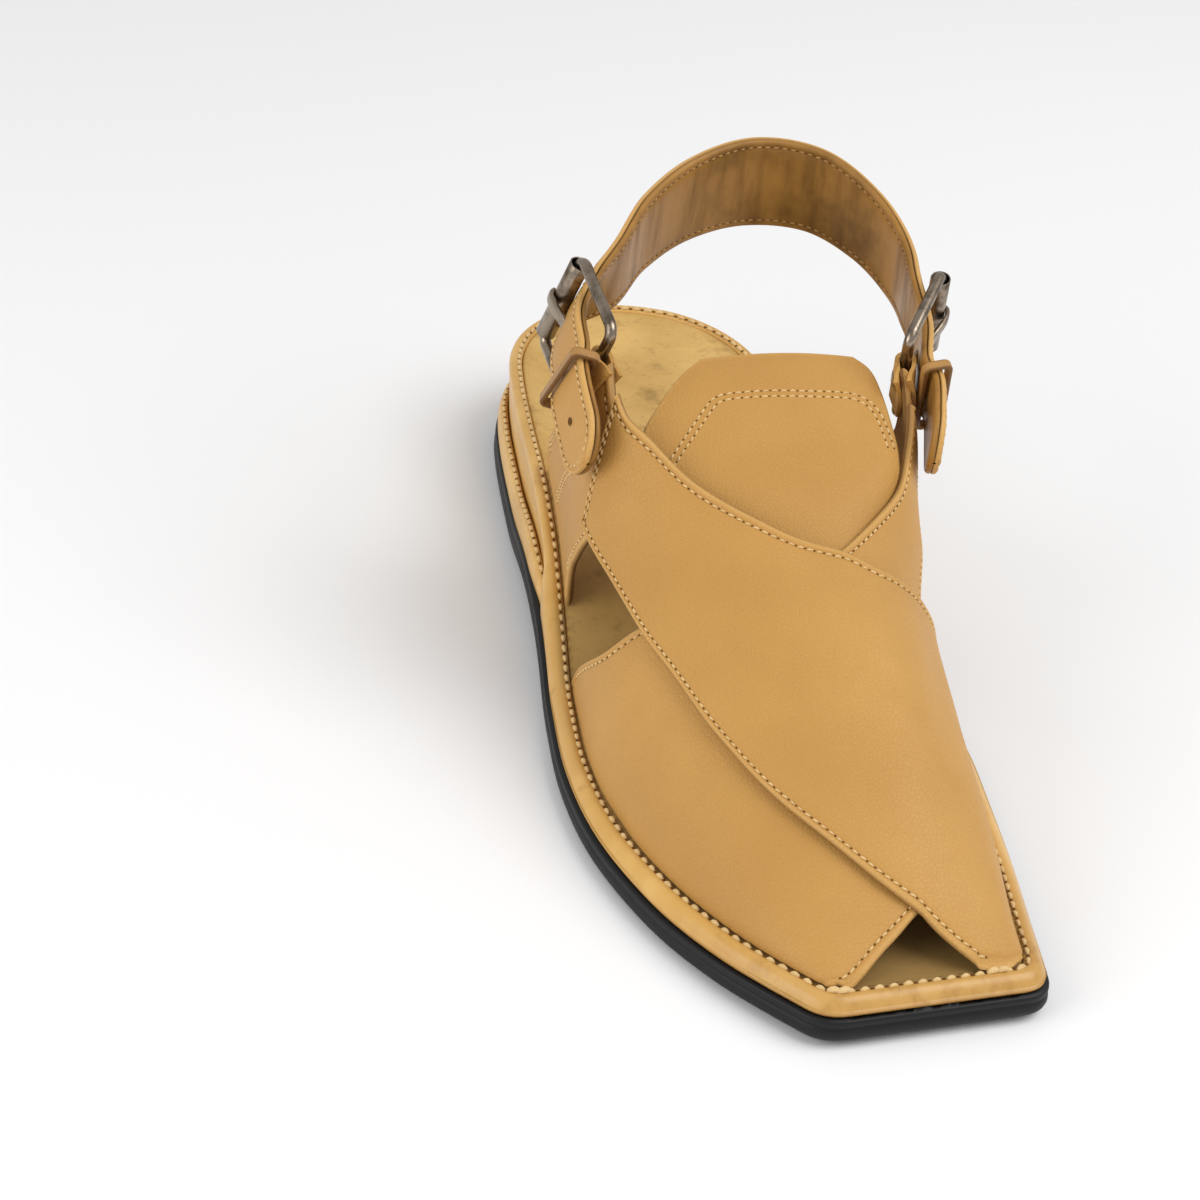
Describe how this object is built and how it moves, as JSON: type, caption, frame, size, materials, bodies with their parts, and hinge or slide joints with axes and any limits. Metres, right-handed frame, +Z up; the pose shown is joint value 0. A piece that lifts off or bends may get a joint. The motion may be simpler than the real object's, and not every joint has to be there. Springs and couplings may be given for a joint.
{
  "type": "peshawari chappal",
  "caption": "Right leather peshawari chappal: crossed vamp bands open at toe and sides, tongue, buckled heel strap, stitched platform on a black rubber sole.",
  "frame": {"origin": "centre of the shoe's bounding box on the floor it stands on", "axes": "+Z up from the floor, +Y from the toe to the heel, +X to the medial side of this right shoe"},
  "size_m": [0.1112, 0.2894, 0.1097],
  "materials": {
    "leather": "smooth tan leather with a soft sheen",
    "wrap": "tan leather wrapped tight and burnished",
    "footbed": "matt mottled olive-tan leather",
    "rubber": "matt black rubber",
    "nickel": "antique nickel plate"
  },
  "bodies": {
    "root": {"outsole": "rubber", "platform": "wrap", "heel_welt": "wrap", "insole": "footbed", "upper": "leather", "tongue": "leather", "heel_strap": "leather", "chape_lateral": "leather", "keeper_lateral": "leather", "buckle_frame_lateral": "nickel", "buckle_roller_lateral": "nickel", "buckle_prong_lateral": "nickel", "chape_medial": "leather", "keeper_medial": "leather", "buckle_frame_medial": "nickel", "buckle_roller_medial": "nickel", "buckle_prong_medial": "nickel"}
  },
  "joints": []
}
